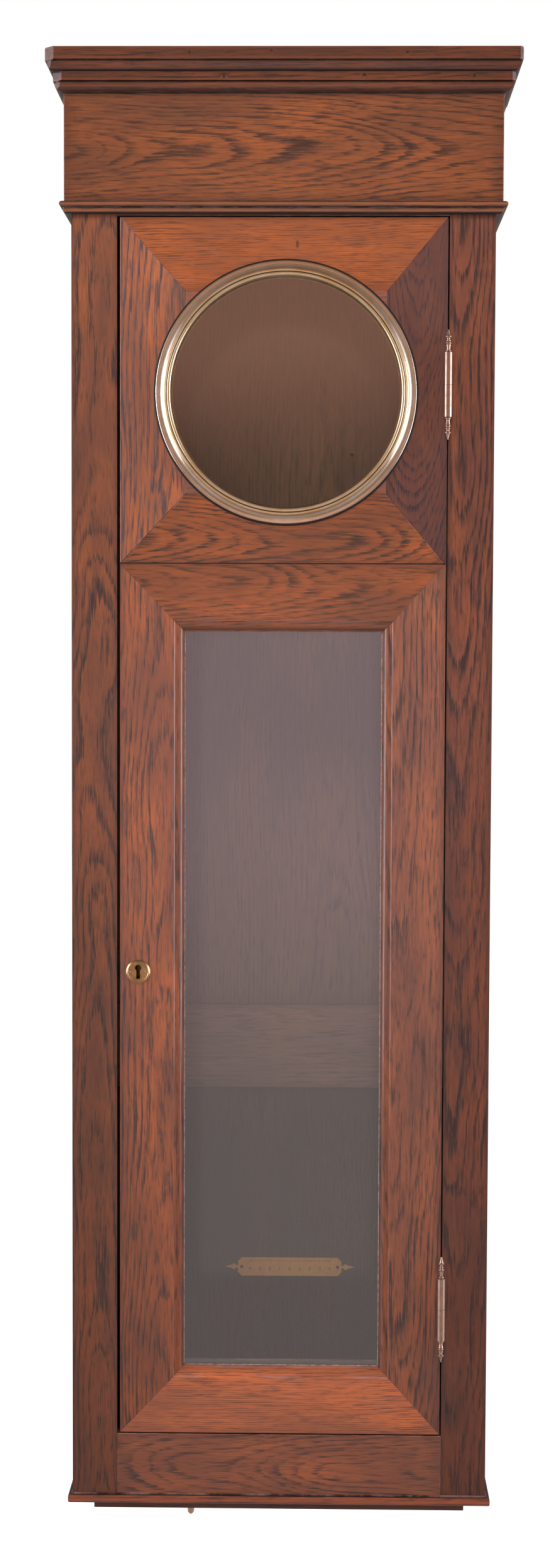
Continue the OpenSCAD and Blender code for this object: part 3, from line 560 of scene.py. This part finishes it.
# How far behind the face a strip lies; a negative one stands in front of it.
THIN_SUNK = 0.3 * MM
SEAM_SUNK = 0.05 * MM
SHEEN_SUNK = -0.15 * MM
# How far inside the edge of the glass the painted highlight lies.
SHEEN_INSET = 0.3 * MM
# The section of the dark ring round the bezel: distance outside its rim, height off the face.
BEZEL_DARK_RING = ((-0.4, -0.3), (-0.4, 0.7), (0.8, 0.55), (2.2, 0.2), (2.8, -0.3))


def wax_strips(name, node, lines, width, sunk, material):
    """Strips that lie in the V grooves between boards, or along the glass as painted highlights, on the
    (start, end) lines given as x, z pairs.
    """
    face_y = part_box(node)[0].y + sunk
    bm = bmesh.new()
    for (x0, z0), (x1, z1) in lines:
        start, end = Vector((x0, face_y, z0)), Vector((x1, face_y, z1))
        side = (end - start).normalized().cross(BACK) * width / 2
        steps = max(4, int((end - start).length / STRIP_STEP))
        rows = []
        for i in range(steps + 1):
            swell = 1 + 0.25 * math.sin(2.3 * i) * math.cos(0.7 * i + x0 * 90)
            spot = start.lerp(end, i / steps)
            section = (spot - side * swell, spot + side * swell, spot + BACK * width / 2)
            rows.append([bm.verts.new(point) for point in section])
        for here, there in zip(rows, rows[1:]):
            for j in range(3):
                k = (j + 1) % 3
                bm.faces.new((here[j], here[k], there[k], there[j]))
        bm.faces.new(rows[0])
        bm.faces.new(rows[-1])
    bmesh.ops.recalc_face_normals(bm, faces=bm.faces)
    strips = from_bmesh(name, bm)
    strips.data.materials.append(material)
    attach(strips, BODY_OF[node])


def make_wax():
    wax = speckled("old_wax", (400.0, 3.0, 0.6), (0.35, 0.75), srgb(22, 15, 13), srgb(56, 42, 40), 0.5)
    pale, brown = srgb(216, 206, 208), srgb(140, 116, 112)
    # A pale speckled material for the painted highlights along the glass.
    sheen = speckled("pale_sheen", (220.0, 3.0, 0.6), (0.35, 0.7), pale, brown, 0.7)
    for part in ("upper", "lower"):
        (low_x, _, low_z), (left_in, _, high_z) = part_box(f"{part}_frame_left")
        top_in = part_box(f"{part}_frame_top")[0].z
        bottom_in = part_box(f"{part}_frame_bottom")[1].z
        right_in, right_out = (corner.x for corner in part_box(f"{part}_frame_right"))
        corners = (((low_x, high_z), (left_in, top_in)), ((right_out, high_z), (right_in, top_in)),
                   ((low_x, low_z), (left_in, bottom_in)), ((right_out, low_z), (right_in, bottom_in)))
        mitres = []
        for outer, inner in corners:
            reach = [o + (i - o) * MITRE_REACH for o, i in zip(outer, inner)]
            mitres.append((outer, reach))
        wax_strips(f"{part}_frame_mitre_wax", f"{part}_frame_top", mitres, THIN_WAX, THIN_SUNK, wax)

    # The last corners are those of the lower frame, which holds the long glass and meets the seam.
    left_x, right_x, foot_z = left_in + SHEEN_INSET, right_in - SHEEN_INSET, bottom_in + SHEEN_INSET
    sight = [((left_x, top_in), (left_x, bottom_in)), ((right_x, top_in), (right_x, bottom_in)),
             ((left_in, foot_z), (right_in, foot_z))]
    # Pale strips along the edges of the long glass: painted highlights of the sheen on the moulding's lip.
    wax_strips("glass_edge_sheen", "long_glass", sight, SHEEN_WIDTH, SHEEN_SUNK, sheen)
    seam_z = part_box("upper_frame_bottom")[0].z
    seam = [((low_x + MM, seam_z), (right_out - MM, seam_z))]
    wax_strips("frame_seam_wax", "upper_frame_bottom", seam, SEAM_WAX, SEAM_SUNK, wax)
    rail_low, rail_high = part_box("face_bottom_rail")
    ends = [((x, rail_low.z), (x, rail_high.z)) for x in (rail_low.x, rail_high.x)]
    wax_strips("rail_end_wax", "face_bottom_rail", ends, THIN_WAX, THIN_SUNK, wax)

    # A thin dark ring on the wood round the bezel.
    low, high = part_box("bezel")
    face_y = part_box("upper_frame_top")[0].y
    rim = (high.x - low.x) / 2
    profile = [(rim + out * MM, up * MM) for out, up in BEZEL_DARK_RING]
    ring = lathe("bezel_dark_ring", profile, (low.x + high.x) / 2, (low.z + high.z) / 2, face_y)
    ring.data.materials.append(wax)
    smooth(ring)
    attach(ring, BODY_OF["bezel"])


# ---------- metal and glass ----------

PATCHES = 120.0
# Real glass has less; this makes the mirrored room as strong against the dark inside as it looks in use.
PANE_IOR = 1.88
PANE_TINT = (0.93, 0.95, 0.94, 1)
WHITE = (1, 1, 1, 1)


def metal(name, colour, dull, roughness, tarnish, metallic=1.0):
    """Aged brass or steel: dull is the tarnished colour that lies over it in patches."""
    t = Tree(name)
    patch = t.noise(t.place, PATCHES, 4.0, 0.6)
    fine = t.noise(t.place, PATCHES * 7, 2.0, 0.6)
    wide = t.span(patch, 0.35, 0.75, 0.0, tarnish)
    cover = t.math("ADD", wide, t.span(fine, 0.45, 0.75, 0.0, tarnish * 0.4))
    t.set(Base_Color=t.mix(cover, colour, dull), Metallic=metallic)
    t.set(Roughness=t.math("MULTIPLY_ADD", cover, 0.25, roughness))
    t.set(Normal=t.bump(fine, 0.12, 0.08 * MM))
    return t.material


def pane(name):
    """Old window glass, clear and a little wavy. Only its front face mirrors."""
    t = Tree(name)
    t.nodes.remove(t.shader)
    clear = t.nodes.new("ShaderNodeBsdfTransparent")
    clear.inputs["Color"].default_value = PANE_TINT
    mirror = t.nodes.new("ShaderNodeBsdfGlossy")
    mirror.inputs["Roughness"].default_value = 0.0
    mirror.inputs["Color"].default_value = WHITE
    fresnel = t.nodes.new("ShaderNodeFresnel")
    fresnel.inputs["IOR"].default_value = PANE_IOR
    wave = t.bump(t.noise(t.place, 4.0, 0.0), 0.08, MM)
    t.put(mirror.inputs["Normal"], wave)
    t.put(fresnel.inputs["Normal"], wave)
    seen = t.math("MULTIPLY", fresnel.outputs[0], t.front_facing())
    t.mix_surface(seen, clear.outputs[0], mirror.outputs[0])
    return t.material


def dress(node, material):
    """Gives a CAD node that stays as it is its material."""
    data = frame["nodes"][node].data
    data.materials.clear()
    data.materials.append(material)
    for polygon in data.polygons:
        polygon.material_index = 0


# Distances across the bezel's ring from its inner edge, in millimetres.
RING_WIDTH = 17.9
GROOVE = (3.9, 4.4, 4.8, 5.3)
COVE_EDGES = (7.4, 8.6)
BEAD_ROUGHNESS = 0.32
# How much painted shade darkens the bezel's rim at its top and foot.
RIM_SHADE = 0.6


def spun_brass(sight, middle):
    """Brass brushed round the bezel: golden on the beads, paler in the cove, with painted shade at its top
    and foot.
    """
    t = Tree("spun_brass")
    xyz = t.split(t.place)
    x = t.math("SUBTRACT", xyz[0], middle.x)
    z = t.math("SUBTRACT", xyz[2], middle.z)
    radius = t.hypot(x, z)
    lines = t.join(t.math("MULTIPLY", radius, 4000.0), t.math("MULTIPLY", t.math("ARCTAN2", z, x), 3.0),
                   t.math("MULTIPLY", xyz[1], 4000.0))
    brushed = t.noise(lines, 1.0, 2.0, 0.6)
    patch = t.noise(t.place, 45.0, 4.0, 0.6)

    def rises(start, end):
        return t.span(radius, (sight + start) * MM, (sight + end) * MM)

    cove = rises(*COVE_EDGES)
    gold = t.mix(t.span(patch, 0.4, 0.7), srgb(252, 230, 194), srgb(240, 202, 146))
    pale = t.mix(t.span(patch, 0.35, 0.7), srgb(242, 226, 210), srgb(222, 198, 172))
    groove = t.math("MULTIPLY", rises(GROOVE[0], GROOVE[1]), rises(GROOVE[3], GROOVE[2]))
    # Painted shade: the rim darker towards its top and foot.
    upright = t.math("DIVIDE", z, radius)
    rim_shade = t.math("MULTIPLY", t.math("MULTIPLY", upright, upright), RIM_SHADE)
    rim_colour = t.mix(rim_shade, pale, srgb(188, 154, 116))
    colour = t.mix(groove, t.mix(cove, gold, rim_colour), srgb(120, 76, 36))
    polish = t.math("SUBTRACT", t.span(brushed, 0.3, 0.7, 0.16, 0.3), BEAD_ROUGHNESS)
    roughness = t.math("MULTIPLY_ADD", cove, polish, BEAD_ROUGHNESS)
    t.set(Base_Color=colour, Metallic=0.88, Roughness=roughness)
    t.set(Normal=t.bump(brushed, 0.04, 0.05 * MM))
    return t.material


def make_bezel():
    """The spun bezel: two beads round the glass, then a cove out to a rolled rim."""
    low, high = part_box("bezel")
    middle = (low + high) / 2
    face_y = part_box("upper_frame_top")[0].y
    rim = (high.x - low.x) / 2 / MM
    sight = rim - RING_WIDTH
    deep = (high.y - face_y) / MM
    glass, wall = sight + 2.5, sight + 3.9
    profile = [(sight, -2.0), (sight, 7.4)]
    profile += arc(sight + 2.2, 7.6, 2.2, 176, 20, 10)
    profile += [(sight + 4.45, 7.7)]
    profile += arc(sight + 6.2, 8.0, 1.55, 172, 30, 8)
    profile += arc(rim - 2.2, 12.8, 8.9, 204, 262, 12)
    profile += arc(rim - 1.3, 3.0, 1.3, 80, 0, 6)
    profile += [(rim, 0.0), (wall, 0.0), (wall, -deep), (glass, -deep), (glass, -2.0)]
    profile = [(r * MM, h * MM) for r, h in profile]
    piece = lathe("bezel_spun", profile, middle.x, middle.z, face_y)
    piece.data.materials.append(spun_brass(sight, middle))
    smooth(piece)
    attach(piece, BODY_OF["bezel"])
    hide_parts("bezel")


# The strokes of each figure, on a grid one wide and two high.
DIGITS = {
    "0": [((0, 0), (1, 0), (1, 2), (0, 2), (0, 0))],
    "1": [((0.5, 0), (0.5, 2))],
    "2": [((0, 2), (1, 2), (1, 1), (0, 1), (0, 0), (1, 0))],
    "3": [((0, 2), (1, 2), (1, 0), (0, 0)), ((0.2, 1), (1, 1))],
    "4": [((0, 2), (0, 1), (1, 1)), ((1, 2), (1, 0))],
}
DIGIT_WIDTH = 1.8 * MM
DIGIT_GRID = 2 * MM
DIGIT_STROKE = 0.55 * MM
DIGIT_FOOT = -4.6 * MM
TICKS_EACH_SIDE = 20
TICKS_PER_FIGURE = 5
TICK_PITCH = 2.6 * MM
TICK_TOP = 9.4 * MM
TICK_LENGTH = 2.2 * MM
LONG_TICK = 3.4 * MM
TICK_STROKE = 0.4 * MM
MARK_PROUD = 0.04 * MM
MARK_THICK = 0.08 * MM


def make_scale_marks():
    """Ticks along the top of the beat scale and a figure under every fifth one, filled with black wax."""
    low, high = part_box("beat_scale")
    middle = (low + high) / 2
    front = low.y - MARK_PROUD
    bm = bmesh.new()

    def bar(x0, z0, x1, z1, thick):
        along = Vector((x1 - x0, 0, z1 - z0))
        side = along.normalized().cross(BACK) * thick / 2
        ends = [Vector((x0, front, z0)), Vector((x1, front, z1))]
        corners = [ends[0] - side, ends[1] - side, ends[1] + side, ends[0] + side]
        tops = [bm.verts.new(c) for c in corners]
        feet = [bm.verts.new(c + BACK * MARK_THICK) for c in corners]
        bm.faces.new(tops)
        for i in range(4):
            bm.faces.new((tops[i], feet[i], feet[(i + 1) % 4], tops[(i + 1) % 4]))

    rise = middle.z + TICK_TOP
    for tick in range(-TICKS_EACH_SIDE, TICKS_EACH_SIDE + 1):
        length = LONG_TICK if tick % TICKS_PER_FIGURE == 0 else TICK_LENGTH
        bar(middle.x + tick * TICK_PITCH, rise, middle.x + tick * TICK_PITCH, rise - length, TICK_STROKE)
    last = TICKS_EACH_SIDE // TICKS_PER_FIGURE
    foot = middle.z + DIGIT_FOOT
    for mark in range(-last, last + 1):
        left = middle.x + mark * TICKS_PER_FIGURE * TICK_PITCH - DIGIT_WIDTH / 2
        for stroke in DIGITS[str(abs(mark))]:
            points = [(left + x * DIGIT_WIDTH, foot + z * DIGIT_GRID) for x, z in stroke]
            for start, end in zip(points, points[1:]):
                bar(*start, *end, DIGIT_STROKE)
    bmesh.ops.recalc_face_normals(bm, faces=bm.faces)
    marks = from_bmesh("beat_scale_marks", bm)
    black = speckled("black_wax", (900.0, 2.0), (0.4, 0.7), srgb(38, 28, 22), srgb(86, 60, 40), 0.6)
    marks.data.materials.append(black)
    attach(marks, BODY_OF["beat_scale"])


def make_metal():
    aged = metal("aged_brass", srgb(214, 176, 128), srgb(122, 94, 62), 0.3, 0.6)
    pale = metal("pale_brass", srgb(212, 180, 162), srgb(150, 108, 84), 0.36, 0.5)
    dull = metal("dull_brass", srgb(150, 122, 82), srgb(84, 66, 44), 0.42, 0.7)
    scale = metal("scale_brass", srgb(250, 188, 110), srgb(212, 144, 80), 0.5, 0.4, metallic=0.0)
    steel = metal("hanger_steel", srgb(150, 148, 144), srgb(80, 72, 66), 0.38, 0.5)
    peg = metal("peg_brass", srgb(226, 190, 160), srgb(170, 128, 96), 0.35, 0.4)
    glass = pane("old_glass")
    for material, nodes in (
        (aged, ("escutcheon",)),
        (pale, ("hinge_upper_case_leaf", "hinge_lower_case_leaf", "hinge_upper_door_leaf",
                "hinge_lower_door_leaf", "hinge_pins", "hinge_finials", "escutcheon_pins")),
        (dull, ("hinge_case_screws", "hinge_door_screws", "strike_plate", "lock_case", "lock_cap",
                "lock_bolt", "beat_scale_screws", "glass_ring")),
        (scale, ("beat_scale",)),
        (steel, ("hanger_plate", "hanger_screws")),
        (peg, ("bottom_peg",)),
        (glass, ("round_glass", "long_glass")),
    ):
        for node in nodes:
            dress(node, material)
    make_bezel()
    make_scale_marks()


# ---------- camera, light and floor ----------

SENSOR = 36
LENS = 55.9176
# Where the camera stands: to the right of the middle, in front of the face, above the base moulding's foot.
CAMERA_RIGHT = 0.0452
CAMERA_AWAY = 2.9226
CAMERA_UP = 1.0506
YAW, PITCH, ROLL = -0.0170, 0.0579, 0.0037


def make_camera():
    """Stands a little to the right of the case's middle, looking slightly down."""
    base_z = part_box("base_front")[0].z
    face_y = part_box("face_stile_left")[0].y
    data = bpy.data.cameras.new("camera")
    data.sensor_width = SENSOR
    data.lens = LENS
    camera = new_object("camera", data)
    spot = Vector((CAMERA_RIGHT, face_y - CAMERA_AWAY, base_z + CAMERA_UP))
    forward = Vector((math.sin(YAW) * math.cos(PITCH), math.cos(YAW) * math.cos(PITCH), -math.sin(PITCH)))
    level = Vector((math.cos(YAW), -math.sin(YAW), 0))
    upright = level.cross(forward)
    right = math.cos(ROLL) * level + math.sin(ROLL) * upright
    up = -math.sin(ROLL) * level + math.cos(ROLL) * upright
    turn = Matrix((right, up, -forward)).transposed().to_4x4()
    camera.matrix_world = Matrix.Translation(spot) @ turn
    bpy.context.scene.camera = camera


def area_light(name, place, target, size, watts, colour):
    data = bpy.data.lights.new(name, "AREA")
    data.shape = "RECTANGLE"
    data.size, data.size_y = size
    data.energy = watts
    data.color = colour
    lamp = new_object(name, data)
    lamp.location = place
    lamp.rotation_mode = "QUATERNION"
    lamp.rotation_quaternion = (Vector(target) - Vector(place)).to_track_quat("-Z", "Y")
    return lamp


# Light that comes from each part of the room, as multiples of full white.
TENT = (0.2, 0.165, 0.15, 1)
ROOM = (0.28, 0.18, 0.13, 1)
PANEL = (1.75, 0.88, 0.6, 1)
CARD = (1.62, 1.2, 1.26, 1)
CARD_LOW = (0.98, 0.83, 0.8, 1)
SIDE = (1.7, 1.7, 1.85, 1)
# Where each part fades in, in x, y or z of the direction: the value at which it starts, and is full.
FRONT_FADE = (-0.45, -0.8)
LEFT_FADE = (-0.095, -0.062)
RIGHT_FADE = (0.07, 0.035)
PANEL_FOOT = (0.05, 0.13)
PANEL_HEAD = (0.24, 0.18)
CARD_HEAD = (0.03, 0.0)
CARD_DIMS = (-0.06, -0.21)
SIDE_FADE = (0.55, 0.9)


def make_world():
    """A soft tent round the case, by direction: bright at both sides, dim overhead, warm and dim in front.

    Behind the camera, straight in front of the case, a warm panel stands over a pale card: they are what the
    round and the long glass mirror. The camera itself sees plain white.
    """
    world = bpy.data.worlds.new("studio")
    bpy.context.scene.world = world
    world.use_nodes = True
    nodes, links = world.node_tree.nodes, world.node_tree.links
    toward = nodes.new("ShaderNodeSeparateXYZ")
    links.new(nodes.new("ShaderNodeTexCoord").outputs["Generated"], toward.inputs[0])
    from_camera = nodes.new("ShaderNodeLightPath").outputs["Is Camera Ray"]

    def step(value, low, high):
        ramp = nodes.new("ShaderNodeMapRange")
        ramp.interpolation_type = "SMOOTHSTEP"
        links.new(value, ramp.inputs["Value"])
        ramp.inputs["From Min"].default_value = low
        ramp.inputs["From Max"].default_value = high
        return ramp.outputs["Result"]

    def product(*factors):
        total = factors[0]
        for factor in factors[1:]:
            node = nodes.new("ShaderNodeMath")
            node.operation = "MULTIPLY"
            links.new(total, node.inputs[0])
            links.new(factor, node.inputs[1])
            total = node.outputs[0]
        return total

    x, y, z = toward.outputs
    front = step(y, *FRONT_FADE)
    straight = product(front, step(x, *LEFT_FADE), step(x, *RIGHT_FADE))
    layers = (
        (front, ROOM),
        (product(straight, step(z, *PANEL_FOOT), step(z, *PANEL_HEAD)), PANEL),
        (product(straight, step(z, *CARD_HEAD)), CARD),
        (product(straight, step(z, *CARD_DIMS)), CARD_LOW),
        (step(product(x, x), *SIDE_FADE), SIDE),
        (from_camera, WHITE),
    )
    colour = None
    for factor, over in layers:
        mix = nodes.new("ShaderNodeMix")
        mix.data_type = "RGBA"
        links.new(factor, mix.inputs[0])
        mix.inputs[6].default_value = TENT
        if colour:
            links.new(colour, mix.inputs[6])
        mix.inputs[7].default_value = over
        colour = mix.outputs[2]
    links.new(colour, nodes["Background"].inputs["Color"])


WALL_GAP = 4 * MM
WALL_DARK = (0.008, 0.006, 0.005, 1)
WALL_PALE = (0.016, 0.012, 0.01, 1)


def make_wall_spot():
    """The unlit wall behind the wiring hole: only the camera sees it, and only from the front."""
    low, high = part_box("back_panel_upper")
    bm = bmesh.new()
    corners = ((low.x, low.z), (high.x, low.z), (high.x, high.z), (low.x, high.z))
    bm.faces.new([bm.verts.new((x, high.y + WALL_GAP, z)) for x, z in corners])
    spot = from_bmesh("wall_spot", bm)
    t = Tree("unlit_wall")
    t.set(Base_Color=t.mix(t.noise(t.place, 60.0), WALL_DARK, WALL_PALE), Roughness=0.9)
    through = t.nodes.new("ShaderNodeBsdfTransparent")
    seen = t.math("MULTIPLY", t.camera_ray(), t.front_facing())
    t.mix_surface(seen, through.outputs[0], t.shader.outputs[0])
    spot.data.materials.append(t.material)


FLOOR_DROP = 0.45
FLOOR_DARK = (0.5, 0.5, 0.51, 1)
FLOOR_PALE = (0.54, 0.54, 0.55, 1)
FLOOR_SIDE = 14
FLOOR_FRONT = -2
WINDOW_WATTS = 42
KEY_WATTS = 38
WINDOW_COLOUR = (0.88, 0.92, 1)
KEY_COLOUR = (1, 0.96, 0.92)


def make_floor():
    """A pale floor that gathers shadows, and that the camera sees as bright as the backdrop."""
    bm = bmesh.new()
    floor_z = cad_low.z - FLOOR_DROP
    corners = ((-FLOOR_SIDE, FLOOR_FRONT), (FLOOR_SIDE, FLOOR_FRONT),
               (FLOOR_SIDE, FLOOR_SIDE), (-FLOOR_SIDE, FLOOR_SIDE))
    bm.faces.new([bm.verts.new((x, y, floor_z)) for x, y in corners])
    floor = from_bmesh("floor", bm)
    t = Tree("floor")
    speck = t.noise(t.place, 3.0, 2.0)
    t.set(Base_Color=t.ramp(speck, [(0.3, FLOOR_DARK), (0.7, FLOOR_PALE)]), Roughness=0.8)
    t.set(Emission_Color=WHITE, Emission_Strength=t.camera_ray())
    floor.data.materials.append(t.material)


def make_studio():
    """A window on each side, a soft light above the camera that the glass doesn't mirror, and the room."""
    middle_z = (cad_low.z + cad_high.z) / 2
    make_world()
    target = (0, -0.2, middle_z + 0.3)
    for side in (-1, 1):
        place = (side * 2.7, -0.75, middle_z + 0.3)
        area_light("window", place, target, (0.9, 2.2), WINDOW_WATTS, WINDOW_COLOUR)
    key = area_light("key_softbox", (-0.4, -2.1, middle_z + 2.1), target, (1.6, 1.0), KEY_WATTS, KEY_COLOUR)
    key.visible_glossy = False
    make_floor()
    make_wall_spot()
    bpy.context.scene.view_settings.view_transform = "Standard"


make_camera()
make_studio()
make_boards()
make_wax()
make_metal()
